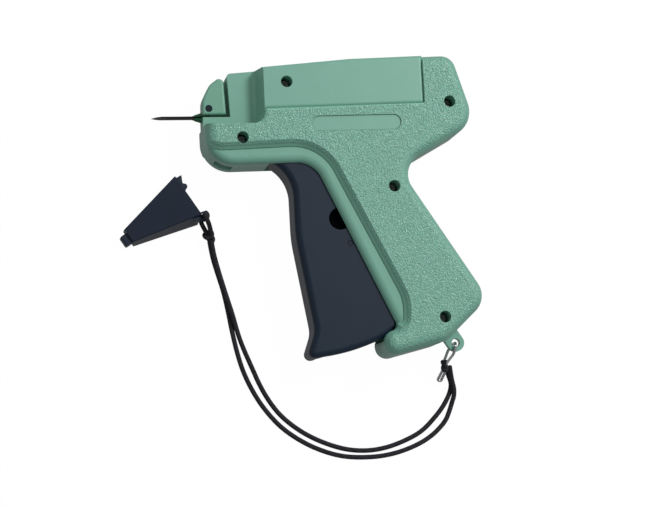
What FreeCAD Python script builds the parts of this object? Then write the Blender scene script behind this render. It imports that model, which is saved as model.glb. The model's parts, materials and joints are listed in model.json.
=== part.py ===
"""Garment tag attacher lying on its side: +X from the needle to the rear, +Y to the top, +Z to the upper side.

Every length is in millimetres.  The origin is the middle of the underside of the tool without its lanyard.
"""
import FreeCAD
import Part
import os
from math import cos, pi, radians, sin, tan

V = FreeCAD.Vector
UP = V(0, 0, 1)
AHEAD = V(1, 0, 0)

# ---- driving dimensions of the casing
BODY_THICK = 30.0          # whole thickness of the casing
FIN_THICK = 10.0           # thickness of the thin upper nose
WALL = 2.2                 # wall of the casing at its edge
ROOF = 2.2                 # wall of the casing over its inside
RIM_DROP = 3.0             # how far the rolled rim lies below the grained face
BAND_DROP = 3.5            # height of the sloping band between the grained face and the rim
RIM_ROLL = 3.6             # radius of the rolled rim
CREASE_W = 0.4             # groove where the band meets the rim
CREASE_DEPTH = 0.3
EDGE_ROUND = 5.0           # rounding of the rear and underside edges
TOP_ROUND = 1.6            # rounding of the edges beside the label recess
RECESS = 0.6               # depth of the label recess
PLATE_RECESS = 0.4         # depth of the bare name plate
RUN_FIT = 0.1              # radial gap of a moulded bearing
PIN_FIT = 0.05             # radial gap of a steel pin
SIDE_FIT = 0.3             # gap beside a part that moves

MID = BODY_THICK / 2       # height of the parting plane
HALF = BODY_THICK / 2
FIN_HALF = FIN_THICK / 2
RIM_HALF = HALF - RIM_DROP
BAND_FOOT = HALF - BAND_DROP

# ---- places along the profile
NOSE_X = -50.3             # front of the nose
LEDGE_Y = 38.0             # step between the thick lower nose and the thin upper nose
RAMP_X = -27.2             # foot of the ramp from the thin nose to the body
RAMP_HOLLOW = 2.3          # radius of the ramp's hollow foot
RAMP_START = 14            # slope of the ramp at its foot, in degrees
RAMP_TURN = 74             # its steepest slope
NEEDLE_Y = 43.3            # needle axis
SLIT_H = 1.2               # height of the filament slit along the needle
SLIT_X = -38.2             # rear edge of the upright filament slit
SLIT_W = 1.8               # width of the upright filament slit
SLIT_LEAN = 0.7            # how far the slit leans over its height
TOP_FRONT_Y = 64.0         # top of the body at its front
UNDER_Y = 19.5             # underside of the nose
MOUTH_X = -21.5            # front end of the trigger mouth
EYELET = (62.6, -62.9)     # centre of the lanyard eyelet
EYELET_R = 3.95
EYELET_BEARING = -57.3     # direction in which the eyelet stands out of the casing
EYELET_NECK = 7.5          # how far its neck reaches back into the casing
EYELET_HOLE_R = 1.9
EYELET_THICK = 3.0

# ---- screws
SCREW_POINTS = [(-33.8, 31.3), (-12.7, 56.9), (62.7, 47.2), (34.7, 8.1), (55.0, -52.2)]
RECESS_R = 2.65            # screw recess
BOSS_WALL = 0.8
SEAT = 6.4                 # height of the screw seat above the parting plane
SCREW_R = 1.3
HEAD_R = 2.4
HEAD_H = 1.8
SCREW_REACH = 9.0          # how far the screw enters the right casing
BOSS_R = RECESS_R + BOSS_WALL

# ---- needle, hub and lock
NEEDLE_R = 0.85
NEEDLE_ROOT_R = 1.05       # thicker root, held in the hub
ROOT_LEN = 0.8             # how far the root stands out of the hub
NEEDLE_BORE_R = 0.62
NEEDLE_TIP_X = -73.4
NEEDLE_SLOT = 0.5
BEVEL = 6.5                # length of the pointed end
TROUGH_X = -64.2           # in front of this the needle is open above
HUB_R = 2.4
HUB_TIP_R = 1.35
HUB_CONE = 3.4
HUB_DEPTH = 3.4            # how far the hub enters the nose
HUB_SLIT = 0.8
LOCK_POINT = (-47.4, 46.7)
LOCK_R = 1.6
LEVER_LEN = 12.0
LEVER_THICK = 2.4
LEVER_BEARING = 58.0
LOCK_TURN = 90.0

# ---- fastener channel
CHANNEL_X = (-46.2, -36.4)
CHANNEL_T = 2.2            # thickness of the channel
GUIDE_X = (-45.4, -38.9)   # lower part, which the comb passes when empty
GUIDE_WALL = 0.8
EXIT_X = (-45.3, -37.5)    # slot in the underside where the empty comb comes out
EXIT_T = 8.0

# ---- trigger and drive
TRIGGER_HALF = 9.0
CHEEK = 2.0                # wall of the trigger's cheeks
WEB = 2.4                  # wall of the trigger's front
TRIGGER_TURN = 16.0
EAR_WALL = 1.6             # wall of the trigger's ears round the pivot
MODULE = 1.25
RING_TEETH = 92
PINION_TEETH = 8
WHEEL_TEETH = 18
GEAR_BEARING = -8.2        # direction of the drive gear from the trigger pivot
TOOTH_SHARE = 0.34         # tooth thickness as a share of the pitch
RING_RIM = 3.0
GEAR_T = 3.0               # thickness of the toothed sector
WHEEL_T = 6.0
AXLE_R = 1.5
ROD_R = 0.6
ROD_REST_X = CHANNEL_X[1] + 0.4
SLIDE_FRONT = 12.0
SLIDE_REAR = 58.0
SLIDE_T = 8.0
SLIDE_TOP = NEEDLE_Y + 3.7

AXLE_BOSS_R = 3.0
RAIL_X = (-24.0, 58.0)
RAIL_LAP = 1.2
RAIL_W = 2.0
HIGH_INSET = 4.4
RAMP_CORNER = 5.0
RAMP_CREST = 1.4           # radius at the ramp's upper edge
RAMP_REACH = 5.2           # from the ramp's foot to its crest
LEDGE_EASE = 0.5           # how far the ledge's edge is rounded back
PLATE_CENTRE = (18.8, 37.6)
PLATE_LENGTH = 41.0
PLATE_WIDTH = 6.8
PLATE_LEAN = 0.8

ADDENDUM = 0.85            # tooth height above the pitch line, as a share of the module
DEDENDUM = 1.25            # tooth depth below the pitch line, as a share of the module
RING_END = 4.5             # how far the sector runs past its last mesh point, in degrees
ROOM_END = 12.0            # bearing at which the pinion's room in the trigger ends
CORE_HOLE = (9.9, -5.6)    # round opening in the trigger's upper cheek
CORE_HOLE_R = 5.1
LOBE = [(12.0, 1.8, 0), (17.0, 2.2, 0), (19.6, 3.4, 0), (20.4, -2.0, 0), (18.5, -7.0, 0), (15.0, -9.0, 0),
        (13.8, -2.0, 0)]
TRIGGER_ROUND = 2.8
FOOT_SLANT = 2.8           # how much shorter the trigger's foot is on its lower face
FOOT_LEAN = 13.9
GATE_MARK = (14.0, -17.0)  # ring-shaped moulding mark on the upper cheek
GATE_MARK_R = 1.3
ROD_GRIP = 10.0            # how far the push rod is fixed in the slide
SPRING_R = 4.6
SPRING_WIRE_R = 0.45
SPRING_PITCH = 1.05
SPRING_TURNS = 3
SPRING_LEGS = (-45.2, -17.0)
BLOCK_ROUND = 1.0
FAR_BLOCK_ROUND = 1.8
CROSS_LEN = 2.6
CROSS_W = 0.55
LEVER_WIDTH = 4.0
THUMB_INSET = 1.6          # the lever's grip button
THUMB_R = 1.3
THUMB_H = 1.0

# ---- feed
GUIDE_RIB_X = (-45.0, -42.8)
NEAR_RIB_Y = (27.2, 28.4)
FAR_RIB_Y = (26.4, 27.6)
FEED_TEETH = 10
FEED_TIP_R = 3.6
FEED_ROOT_R = 2.6
FEED_T = 3.0
FEED_X = -45.3
FEED_AXLE_R = 1.0
WHEEL_Y = 31.9
WHEEL_Z = MID - CHANNEL_T / 2 + 0.5 - FEED_TIP_R
BRACKET_X = (-41.8, -40.9)
BRACKET_WALL = 1.2
BLADE_X = (-46.85, -46.4)
BLADE_Y = (39.0, 42.5)
BLADE_Z = (11.2, 14.2)

# ---- lanyard and needle cap
CORD_R = 1.1
LOOP_R = 1.0
CLIP_R = 0.65
KNOT_R = 3.1
BEND_SHARE = 0.45          # share of a cord's shorter run that each bend takes
CLIP_KNOT = (58.6, -72.5, 9.2)
CAP_KNOT = (-47.3, -9.3, 3.1)
CLIP_ROUTE = [(57.6, -71.8, 8.2), (58.6, -69.6, 10.6), (60.1, -65.6, 11.7), (62.4, -63.0, 12.1), (62.4, -63.0, 18.0),
              (61.2, -67.9, 17.9), (59.3, -71.3, 11.4), (57.9, -74.6, 7.6), (55.9, -78.9, 4.8), (57.5, -79.4, 4.6),
              (59.3, -75.1, 7.4), (59.8, -73.9, 8.2)]
OUTER_ROUTE = [(60.9, -73.1, 9.3), (61.9, -76.5, 6.7), (63.0, -79.9, 4.4), (63.9, -82.7, 3.5), (64.0, -86.1, 2.5),
               (63.1, -89.2, 1.15), (61.6, -93.3, 1.15), (59.2, -98.4, 1.15), (51.1, -105.6, 1.15),
               (39.9, -110.4, 1.15), (29.0, -112.7, 1.15), (18.3, -112.9, 1.15), (9.4, -111.9, 1.15),
               (0.9, -109.2, 1.15), (-7.6, -105.1, 1.15), (-16.9, -98.6, 1.15), (-24.0, -90.6, 1.15),
               (-29.4, -82.2, 1.15), (-33.9, -72.3, 1.15), (-36.4, -63.2, 1.15), (-38.3, -53.5, 1.15),
               (-39.7, -44.5, 1.15), (-41.4, -35.2, 1.15), (-43.9, -26.5, 1.15), (-46.2, -18.0, 1.15),
               (-47.1, -11.5, 1.9)]
INNER_ROUTE = [(60.1, -73.9, 6.2), (61.5, -76.4, 3.0), (63.1, -79.8, 1.5), (62.9, -82.9, 1.15), (61.5, -86.4, 1.15),
               (59.0, -90.5, 1.15), (55.7, -94.6, 1.15), (48.4, -101.9, 1.15), (40.1, -105.9, 1.15),
               (31.0, -108.9, 1.15), (22.0, -110.0, 1.15), (13.0, -109.2, 1.15), (5.0, -106.8, 1.15),
               (-3.2, -103.2, 1.15), (-10.6, -98.6, 1.15), (-17.6, -92.6, 1.15), (-22.6, -85.8, 1.15),
               (-26.6, -78.4, 1.15), (-30.2, -69.3, 1.15), (-33.6, -60.9, 1.15), (-36.1, -53.6, 2.1),
               (-38.1, -45.8, 3.5), (-40.4, -37.9, 3.5), (-42.3, -31.1, 3.5), (-44.6, -22.4, 3.5),
               (-46.1, -15.6, 3.8), (-46.6, -11.5, 4.7)]
LOOP_ROUTE = [(-47.2, -8.0, 4.2), (-48.7, -3.4, 11.9), (-50.2, -0.83, 12.8), (-50.2, -0.83, 6.2),
              (-50.0, -4.0, 5.2), (-48.5, -7.8, 2.6)]
CAP_HANG = (-50.2, -0.83)  # where the cap's lug hangs in the loop
CAP_BEARING = 33.0
CAP_LEN = 32.2
CAP_SLANT = 2.6            # how much further the cap's top reaches than its bottom
CAP_TIP_LOW = 4.5          # half widths on its sloping side, below and above, and heights
CAP_TIP_HIGH = 3.15
CAP_TIP_H = 8.0
CAP_BASE_LOW = 13.5
CAP_BASE_HIGH = 10.35
CAP_BASE_H = 12.0
CAP_TIP_LEFT = 3.9         # half widths on its upright side
CAP_BASE_LEFT = 10.8
CAP_WALL = 1.4
CAP_ROUND = 0.8
CAP_NECK_IN = CAP_LEN - 4.2
CAP_SPUR_IN = CAP_LEN - 3.2
CAP_SPUR = [(CAP_SPUR_IN, CAP_BASE_HIGH - 0.95, 0), (CAP_LEN - 0.6, CAP_BASE_HIGH - 0.45, 1.0),
            (CAP_LEN + 2.9, CAP_BASE_HIGH - 0.75, 0.2), (CAP_LEN + 1.1, 6.1, 0.8), (CAP_LEN + 2.4, 5.1, 0.8),
            (CAP_LEN + 2.2, 3.6, 0.8), (CAP_LEN + 0.2, 2.6, 0.5), (CAP_SPUR_IN, 2.6, 0)]
CAP_NECK = [(CAP_NECK_IN, 0.55 - CAP_BASE_HIGH, 0), (CAP_LEN - 1.0, 1.15 - CAP_BASE_HIGH, 0),
            (CAP_LEN + 2.3, 0.75 - CAP_BASE_HIGH, 0), (CAP_LEN - 0.7, -2.85 - CAP_BASE_HIGH, 0),
            (CAP_NECK_IN, -1.05 - CAP_BASE_HIGH, 0)]
CAP_LUG = (CAP_LEN + 1.0, -1.05 - CAP_BASE_HIGH)
LUG_R = 2.6
LUG_HOLE_R = 1.3
LUG_LOW = 8.4
LUG_T = 1.8
NUB_LEN = 3.6
NUB_WIDTH = 5.2
ON_CORD = ("lanyard_cord_outer", "lanyard_cord_inner", "clip_knot", "cap_knot", "cap_loop")

PIVOT = SCREW_POINTS[0]
EAR_BORE = BOSS_R + RUN_FIT
EAR_R = EAR_BORE + EAR_WALL
RING_R = MODULE * RING_TEETH / 2
PINION_R = MODULE * PINION_TEETH / 2
WHEEL_R = MODULE * WHEEL_TEETH / 2
GEAR_GAP = RING_R - PINION_R
GEAR_POINT = (PIVOT[0] + GEAR_GAP * cos(radians(GEAR_BEARING)),
              PIVOT[1] + GEAR_GAP * sin(radians(GEAR_BEARING)))
RACK_Y = GEAR_POINT[1] + WHEEL_R
STROKE = radians(TRIGGER_TURN) * RING_R / PINION_R * WHEEL_R


# ---- outlines: corners (x, y, radius), each rounded by a tangent arc
REAR = [(RAMP_X, TOP_FRONT_Y - 0.4, 0), (17.0, TOP_FRONT_Y + 3.6, 60), (65.6, 69.6, 7),
        (75.2, 37.8, 12), (38.2, 17.2, 10), (76.6, -43.9, 10), (55.8, -62.9, 14), (28.2, -69.5, 5.4),
        (26.4, -59.2, 5.2)]
MOUTH_CORNER = (-1.3, UNDER_Y + 0.9, 12)
BODY = [(NOSE_X, UNDER_Y, 13.2), (NOSE_X, LEDGE_Y, 0), (RAMP_X, LEDGE_Y, 0)] + REAR + [
    (34.2, -56.2, 2.6), MOUTH_CORNER]
FRONT_BAND = [(NOSE_X - 4, 90.0, 0), (NOSE_X - 4, 25.0, 12), (1.3, 27.3, 20), (36.3, -44.2, 20), (35.6, -53.6, 2),
              (18.0, -57.6, 0), (18.0, -90.0, 0)]
FIN_REAR_X = RAMP_X + 3
PANEL = [(SLIT_X + SLIT_LEAN, NEEDLE_Y - 6, 0), (SLIT_X - SLIT_LEAN * 0.7, TOP_FRONT_Y - 1.25, 1.6),
         (FIN_REAR_X, TOP_FRONT_Y - 0.1, 0), (FIN_REAR_X, NEEDLE_Y - 6, 0)]
BLOCK_REAR = SLIT_X - SLIT_W
BLOCK = [(NOSE_X, NEEDLE_Y + SLIT_H / 2, 0.4), (NOSE_X, NEEDLE_Y + 7.2, 8), (NOSE_X + 3.5, TOP_FRONT_Y - 6.4, 6),
         (BLOCK_REAR - 2.3, TOP_FRONT_Y - 2.9, 2.2), (BLOCK_REAR - SLIT_LEAN / 4, TOP_FRONT_Y - 4.4, 1.2),
         (BLOCK_REAR + SLIT_LEAN * 0.7, NEEDLE_Y + SLIT_H / 2, 0)]
TRIGGER_BOW = (11.2, -67.2)  # lowest point of the trigger's bowed foot
TRIGGER_FRONT = [(-24.0, 22.9, 3), (-10.8, 16.4, 18), (-10.6, -13.0, 60), (-3.7, -56.2, 11), (-8.2, -68.9, 2.8)]
TRIGGER_REST = [(TRIGGER_BOW[0], TRIGGER_BOW[1], 90), (29.0, -59.9, 20), (34.2, -56.0, 2.6), (34.8, -47.0, 5),
                (7.0, 14.0, 10), (-6.0, 28.0, 8),
                (PIVOT[0] + 1.5, PIVOT[1] + EAR_R * 0.955, 0), (PIVOT[0], PIVOT[1] + EAR_R, 0),
                (PIVOT[0], PIVOT[1] - EAR_R, 0)]
LABEL = [(RAMP_X - 5, 44.2, 0), (50.8, 46.6, 0.8), (50.8, 80.0, 0), (RAMP_X - 5, 80.0, 0)]
STEP_LAP = 0.2             # how far the lowered area reaches under its surround
LABEL_TOP_EDGE = 55.0      # the label area's top edges lie above this
MOUTH_EASE = 1.6           # how much further the mouth reaches to the front on the inside
MOUTH = [(MOUTH_X, UNDER_Y - 5, 0), (MOUTH_X, UNDER_Y + 0.8, 0), (MOUTH_X - MOUTH_EASE, UNDER_Y + 1.9, 0),
         (MOUTH_X - MOUTH_EASE, UNDER_Y + 5, 0), (-2.0, UNDER_Y + 5, 0), (8.0, 14.0, 0),
         (37.0, -50.0, 0), (35.0, -60.0, 0), (18.0, -70.0, 0), (0.0, -20.0, 0), (-10.0, UNDER_Y - 5, 0)]
TOE_X, TOE_Y = (20.0, 42.0), (-75.0, -50.0)  # a wall closes the handle's toe behind the trigger here
SWEEP_R = 111.4            # the trigger's far corner stays inside this radius about its pivot


# ---- helpers
def rounded(corners, height):
    """Return a closed wire through the corners, each rounded by its own tangent arc."""
    spots = [V(x, y, height) for x, y, _ in corners]
    turns = []
    for i, here in enumerate(spots):
        before = (spots[i - 1] - here).normalize()
        after = (spots[(i + 1) % len(spots)] - here).normalize()
        radius = corners[i][2]
        half = before.getAngle(after) / 2
        reach = radius / tan(half)
        middle = here + (before + after).normalize() * (radius / sin(half) - radius)
        turns.append((here + before * reach, middle, here + after * reach, radius))
    edges = []
    for i, (first, middle, last, radius) in enumerate(turns):
        if radius > 0:
            edges.append(Part.Arc(first, middle, last).toShape())
        edges.append(Part.LineSegment(last, turns[(i + 1) % len(turns)][0]).toShape())
    return Part.Wire(edges)


def slab(corners, low, high):
    """Return a plate with a rounded outline between two heights."""
    return Part.Face(rounded(corners, low)).extrude(V(0, 0, high - low))


def inset_slab(corners, gap, low, high):
    """Return a plate whose outline lies inside the given one by a gap."""
    face = Part.Face(rounded(corners, low)).makeOffset2D(-gap, 2)
    return face.extrude(V(0, 0, high - low))


def bar(x_ends, y_ends, z_ends):
    """Return a box between two ends along each axis."""
    size = [b - a for a, b in (x_ends, y_ends, z_ends)]
    return Part.makeBox(*size, V(x_ends[0], y_ends[0], z_ends[0]))


def disc(point, radius, low, high):
    """Return an upright cylinder about a point of the profile."""
    return Part.makeCylinder(radius, high - low, V(point[0], point[1], low))


def rod(x_ends, y, z, radius):
    """Return a cylinder along X."""
    return Part.makeCylinder(radius, x_ends[1] - x_ends[0], V(x_ends[0], y, z), AHEAD)


def mirrored(shape):
    """Return the shape on the other side of the parting plane."""
    return shape.mirror(V(0, 0, MID), UP)


def top_edges(shape, height, keep=lambda centre: True):
    """Return the shape's flat edges at a height whose middle is wanted."""
    found = []
    for edge in shape.Edges:
        box = edge.BoundBox
        if abs(box.ZMin - height) < 1e-4 and abs(box.ZMax - height) < 1e-4 and keep(box.Center):
            found.append(edge)
    return found


def polar(centre, radius, bearing):
    """Return the point at a radius and a bearing in degrees from a centre."""
    return (centre[0] + radius * cos(radians(bearing)), centre[1] + radius * sin(radians(bearing)))


def beside(corners, gap):
    """Return an open line of corners moved sideways, to the left of its direction for a positive gap."""
    moved = []
    for i, (x, y, radius) in enumerate(corners):
        legs = []
        for a, b in ((i - 1, i), (i, i + 1)):
            if a >= 0 and b < len(corners):
                way = V(corners[b][0] - corners[a][0], corners[b][1] - corners[a][1], 0).normalize()
                legs.append(V(-way.y, way.x, 0))
        lean = (legs[0] + legs[-1]).normalize()
        reach = gap / lean.dot(legs[0])
        turn = legs[0].cross(legs[-1]).z
        sharper = gap if turn > 0 else -gap
        moved.append((x + lean.x * reach, y + lean.y * reach, max(radius - sharper, 0.1) if radius else 0))
    return moved


# ---- casing
def outer_rim(shape, height):
    """Return the top edges of the thick body, apart from the two that face the thin nose."""
    return top_edges(shape, height, lambda at: at.y < LEDGE_Y - 0.1 or at.x > RAMP_X + 0.1)


def thick_half():
    """Return the solid upper half of the thick body: grained face, sloping band and rolled rim."""
    block = slab(BODY, MID, BODY_THICK)
    block = block.makeFillet(EDGE_ROUND, outer_rim(block, BODY_THICK))
    band_foot = MID + BAND_FOOT
    inner = beside(FRONT_BAND, BAND_DROP)
    far = [(95.0, FRONT_BAND[-1][1], 0), (95.0, FRONT_BAND[0][1], 0)]
    slope = Part.makeLoft([rounded(FRONT_BAND + far, band_foot), rounded(inner + far, BODY_THICK)], True, True)
    island = block.common(slab(FRONT_BAND + far, MID, band_foot).fuse(slope))
    rim = slab(BODY, MID, MID + RIM_HALF)
    rim = rim.makeFillet(RIM_ROLL, outer_rim(rim, MID + RIM_HALF))
    return island.fuse(rim).cut(crease(far))


def crease(far):
    """Return the fine groove along the line where the sloping band meets the rim."""
    line = BAND_DROP - RIM_DROP
    low, high = MID + RIM_HALF - CREASE_DEPTH, MID + RIM_HALF + 2 * CREASE_W
    outer = slab(beside(FRONT_BAND, line - CREASE_W / 2) + far, low, high)
    return outer.cut(slab(beside(FRONT_BAND, line + CREASE_W / 2) + far, low - 1, high + 1))


def label_step(shape):
    """Lower the label area by its recess and give its top edge a small rounding."""
    level = BODY_THICK - RECESS
    area = inset_slab(LABEL, -STEP_LAP, MID + RIM_HALF - STEP_LAP, level)
    strip = slab(BODY, MID, level).common(area)
    crown = top_edges(strip, level, lambda at: at.y > LABEL_TOP_EDGE)
    strip = strip.makeFillet(TOP_ROUND, crown)
    return shape.cut(slab(LABEL, MID + RIM_HALF, BODY_THICK + 1)).fuse(strip)


def ramp_section(run, side, corner, height):
    """Return the outline of the room above the thin nose at one height."""
    x, y, back = RAMP_X + run, LEDGE_Y - side, 75.0
    return rounded([(NOSE_X - 5, y, 0), (x, y, corner), (x, back, 0), (NOSE_X - 5, back, 0)], height)


def turned_sections(first, last, steps):
    """Return the slopes at which an arc of the ramp is cut into sections, as radians."""
    return [radians(first + (last - first) * i / steps) for i in range(steps + 1)]


def ramp():
    """Return what is cut away above the thin nose: its rear wall rises from a hollow and ends in a round crest."""
    start, steep = radians(RAMP_START), radians(RAMP_TURN)
    low, crest = [], []
    for turn in turned_sections(RAMP_START, RAMP_TURN, 4):
        share = (turn - start) / (steep - start)
        low.append((RAMP_HOLLOW * (sin(turn) - sin(start)), 0, 1.2 + (RAMP_CORNER - 1.2) * share,
                    MID + FIN_HALF + RAMP_HOLLOW * (cos(start) - cos(turn))))
    crest_low = BODY_THICK - RAMP_CREST * (1 - cos(steep))
    run = low[-1][0] + (crest_low - low[-1][3]) / tan(steep)
    for turn in turned_sections(RAMP_TURN, 0, 4):
        out = sin(steep) - sin(turn)
        crest.append((run + RAMP_CREST * out, LEDGE_EASE * out, RAMP_CORNER,
                      crest_low + RAMP_CREST * (cos(turn) - cos(steep))))
    hollow = Part.makeLoft([ramp_section(*spot) for spot in low], True, False)
    wall = Part.makeLoft([ramp_section(*spot) for spot in (low[-1], crest[0])], True, True)
    lip = Part.makeLoft([ramp_section(*spot) for spot in crest], True, False)
    over = Part.Face(ramp_section(*crest[-1])).extrude(V(0, 0, 1))
    return hollow.fuse(wall).fuse(lip).fuse(over)


def name_plate():
    """Return the shallow pill-shaped recess that is left bare."""
    x, y = PLATE_CENTRE
    dx, dy = PLATE_LENGTH / 2, PLATE_WIDTH / 2
    end = PLATE_WIDTH / 2 - 0.01
    pill = [(x - dx, y - dy, end), (x + dx, y - dy, end), (x + dx, y + dy, end), (x - dx, y + dy, end)]
    tool = slab(pill, BODY_THICK - PLATE_RECESS, BODY_THICK + 1)
    tool.rotate(V(x, y, 0), UP, PLATE_LEAN)
    return tool


def hollows():
    """Return the space inside the upper half of the thick body."""
    low = inset_slab(BODY, WALL, MID, MID + RIM_HALF - ROOF)
    high = inset_slab(BODY, HIGH_INSET, MID, BODY_THICK - ROOF)
    guard = beside(FRONT_BAND, BAND_DROP + 1.0)
    far = [(95.0, FRONT_BAND[-1][1], 0), (95.0, FRONT_BAND[0][1], 0)]
    high = high.common(slab(guard + far, MID, BODY_THICK))
    mouth = slab(MOUTH, MID, MID + TRIGGER_HALF + SIDE_FIT).common(disc(PIVOT, SWEEP_R, MID, BODY_THICK))
    pivot_room = disc(PIVOT, EAR_R + SIDE_FIT, MID, MID + TRIGGER_HALF + SIDE_FIT)
    cheek_room = bar((PIVOT[0], RAMP_X + WALL + 1), (PIVOT[1], PIVOT[1] + EAR_R + SIDE_FIT),
                     (MID, MID + TRIGGER_HALF + SIDE_FIT))
    rooms = low.fuse(high).fuse(mouth).fuse(pivot_room).fuse(cheek_room)
    toe = disc(PIVOT, SWEEP_R + WALL, MID - 1, BODY_THICK).cut(disc(PIVOT, SWEEP_R, MID - 2, BODY_THICK + 1))
    behind_ramp = bar((RAMP_X - 1, RAMP_X + RAMP_REACH + WALL), (PIVOT[1] + EAR_R + SIDE_FIT, 75.0),
                      (MID + SLIDE_T / 2 + SIDE_FIT, BODY_THICK))
    return rooms.cut(toe.common(bar(TOE_X, TOE_Y, (MID - 1, BODY_THICK)))).cut(behind_ramp)


def bosses(low, high):
    """Return the five screw bosses between two heights."""
    return [disc(point, BOSS_R, low, high) for point in SCREW_POINTS]


def rails():
    """Return the upper half's slide rails: one beside the slide and one over it."""
    side = bar((RAIL_X[0], RAIL_X[1]), (SLIDE_TOP - RAIL_LAP, SLIDE_TOP + RAIL_W),
               (MID + SLIDE_T / 2 + SIDE_FIT, BODY_THICK - ROOF + 0.1))
    over = bar((RAIL_X[0], RAIL_X[1]), (SLIDE_TOP + SIDE_FIT, SLIDE_TOP + RAIL_W),
               (MID, MID + SLIDE_T / 2 + SIDE_FIT + 0.1))
    return side.fuse(over)


def nose_passages():
    """Return the channels that both halves of the nose share."""
    channel = bar(CHANNEL_X, (LEDGE_Y - WALL - 0.5, TOP_FRONT_Y + 2), (MID - CHANNEL_T / 2, MID + CHANNEL_T / 2))
    guide_room = bar(GUIDE_X, (UNDER_Y + WALL, LEDGE_Y - WALL), (MID - CHANNEL_T / 2, MID + CHANNEL_T / 2))
    exit_slot = bar(EXIT_X, (UNDER_Y - 2, UNDER_Y + 2 * WALL), (MID - EXIT_T / 2, MID + EXIT_T / 2))
    socket = rod((NOSE_X - 1, NOSE_X + HUB_DEPTH), NEEDLE_Y, MID, HUB_R + PIN_FIT)
    bore = rod((NOSE_X, RAMP_X + WALL + 1), NEEDLE_Y, MID, ROD_R + RUN_FIT)
    return channel.fuse(guide_room).fuse(exit_slot).fuse(socket).fuse(bore)


def eyelet():
    """Return the upper half of the lanyard eyelet, on a neck as wide as its ring."""
    high = MID + EYELET_THICK / 2
    neck = bar((EYELET[0] - EYELET_NECK, EYELET[0]), (EYELET[1] - EYELET_R, EYELET[1] + EYELET_R), (MID, high))
    neck.rotate(V(EYELET[0], EYELET[1], 0), UP, EYELET_BEARING)
    return disc(EYELET, EYELET_R, MID, high).fuse(neck)


def common_half():
    """Return what the two casing halves have alike, as the upper one."""
    shell = label_step(thick_half()).cut(ramp())
    shell = shell.fuse(eyelet())
    room = hollows()
    shell = shell.cut(room)
    inside = [piece.common(slab(BODY, MID, BODY_THICK - 0.5)) for piece in bosses(MID, BODY_THICK - ROOF + 0.1)]
    for piece in inside:
        shell = shell.fuse(piece)
    shell = shell.fuse(rails())
    shell = shell.fuse(disc(GEAR_POINT, AXLE_BOSS_R, MID + TRIGGER_HALF + 2 * SIDE_FIT, BODY_THICK - ROOF + 0.1))
    shell = shell.cut(disc(GEAR_POINT, AXLE_R + PIN_FIT, MID, BODY_THICK - ROOF))
    return shell.cut(disc(EYELET, EYELET_HOLE_R, MID - 1, MID + EYELET_THICK))


def left_casing(shared):
    """Return the upper half: recesses for the screws, the label panel of the thin nose and the filament slit."""
    panel = slab(PANEL, MID, MID + FIN_HALF)
    strip = bar((NOSE_X, SLIT_X + SLIT_LEAN + 0.1), (LEDGE_Y - 1.5, NEEDLE_Y - SLIT_H / 2), (MID, MID + FIN_HALF))
    half = shared.fuse(panel).fuse(strip)
    for point in SCREW_POINTS:
        half = half.cut(disc(point, RECESS_R, MID + SEAT, BODY_THICK + 1))
        half = half.cut(disc(point, SCREW_R + PIN_FIT, MID - 1, MID + SEAT + 1))
    half = half.cut(nose_passages()).cut(name_plate())
    near_rib = bar(GUIDE_RIB_X, NEAR_RIB_Y, (MID + CHANNEL_T / 2 + GUIDE_WALL + PIN_FIT, BODY_THICK - ROOF + 0.1))
    return half.fuse(near_rib)


def right_casing(shared):
    """Return the lower half: pilot holes, the whole thin nose and the seats of the lock, wheel and blade."""
    half = shared.fuse(slab(PANEL, MID, MID + FIN_HALF))
    half = half.fuse(bar((NOSE_X, SLIT_X + 0.1), (LEDGE_Y - 1.5, NEEDLE_Y + 2), (MID, MID + FIN_HALF)))
    half = half.fuse(rounded_block(FAR_BLOCK_ROUND))
    half = half.fuse(bar((BLOCK_REAR - 1, SLIT_X + 1), (NEEDLE_Y, TOP_FRONT_Y - 3.7), (MID, MID + FIN_HALF)))
    for point in SCREW_POINTS:
        half = half.cut(disc(point, SCREW_R + PIN_FIT, MID - 1, MID + SCREW_REACH + 1))
    half = half.cut(nose_passages())
    half = half.cut(disc(LOCK_POINT, LOCK_R + PIN_FIT, MID - 1, BODY_THICK))
    across = FEED_AXLE_R + BRACKET_WALL
    bracket = bar(BRACKET_X, (WHEEL_Y - across, WHEEL_Y + across),
                  (2 * MID - WHEEL_Z - across, BODY_THICK - ROOF + 0.1))
    rib = bar(GUIDE_RIB_X, FAR_RIB_Y, (MID + CHANNEL_T / 2 + GUIDE_WALL + PIN_FIT, BODY_THICK - ROOF + 0.1))
    half = half.fuse(bracket).fuse(rib)
    axle_hole = rod((NOSE_X + 1.0, BRACKET_X[1] + 1), WHEEL_Y, 2 * MID - WHEEL_Z, FEED_AXLE_R + PIN_FIT)
    blade_pocket = bar((BLADE_X[0] - PIN_FIT, BLADE_X[1] + PIN_FIT), (BLADE_Y[0] - PIN_FIT, BLADE_Y[1] + 2),
                       (MID, 2 * MID - BLADE_Z[0] + PIN_FIT))
    return mirrored(half.cut(axle_hole).cut(blade_pocket))


def rounded_block(radius):
    """Return the small block of the nose with its outer edge rounded."""
    block = slab(BLOCK, MID, MID + FIN_HALF)
    crown = top_edges(block, MID + FIN_HALF, lambda at: at.x < BLOCK_REAR - 0.05 and at.y > NEEDLE_Y + SLIT_H)
    return block.makeFillet(radius, crown)


def nose_block():
    """Return the small block that closes the nose above the needle, with the bore of the lock."""
    return rounded_block(BLOCK_ROUND).cut(nose_passages()).cut(disc(LOCK_POINT, LOCK_R + PIN_FIT, MID - 1, BODY_THICK))


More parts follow.
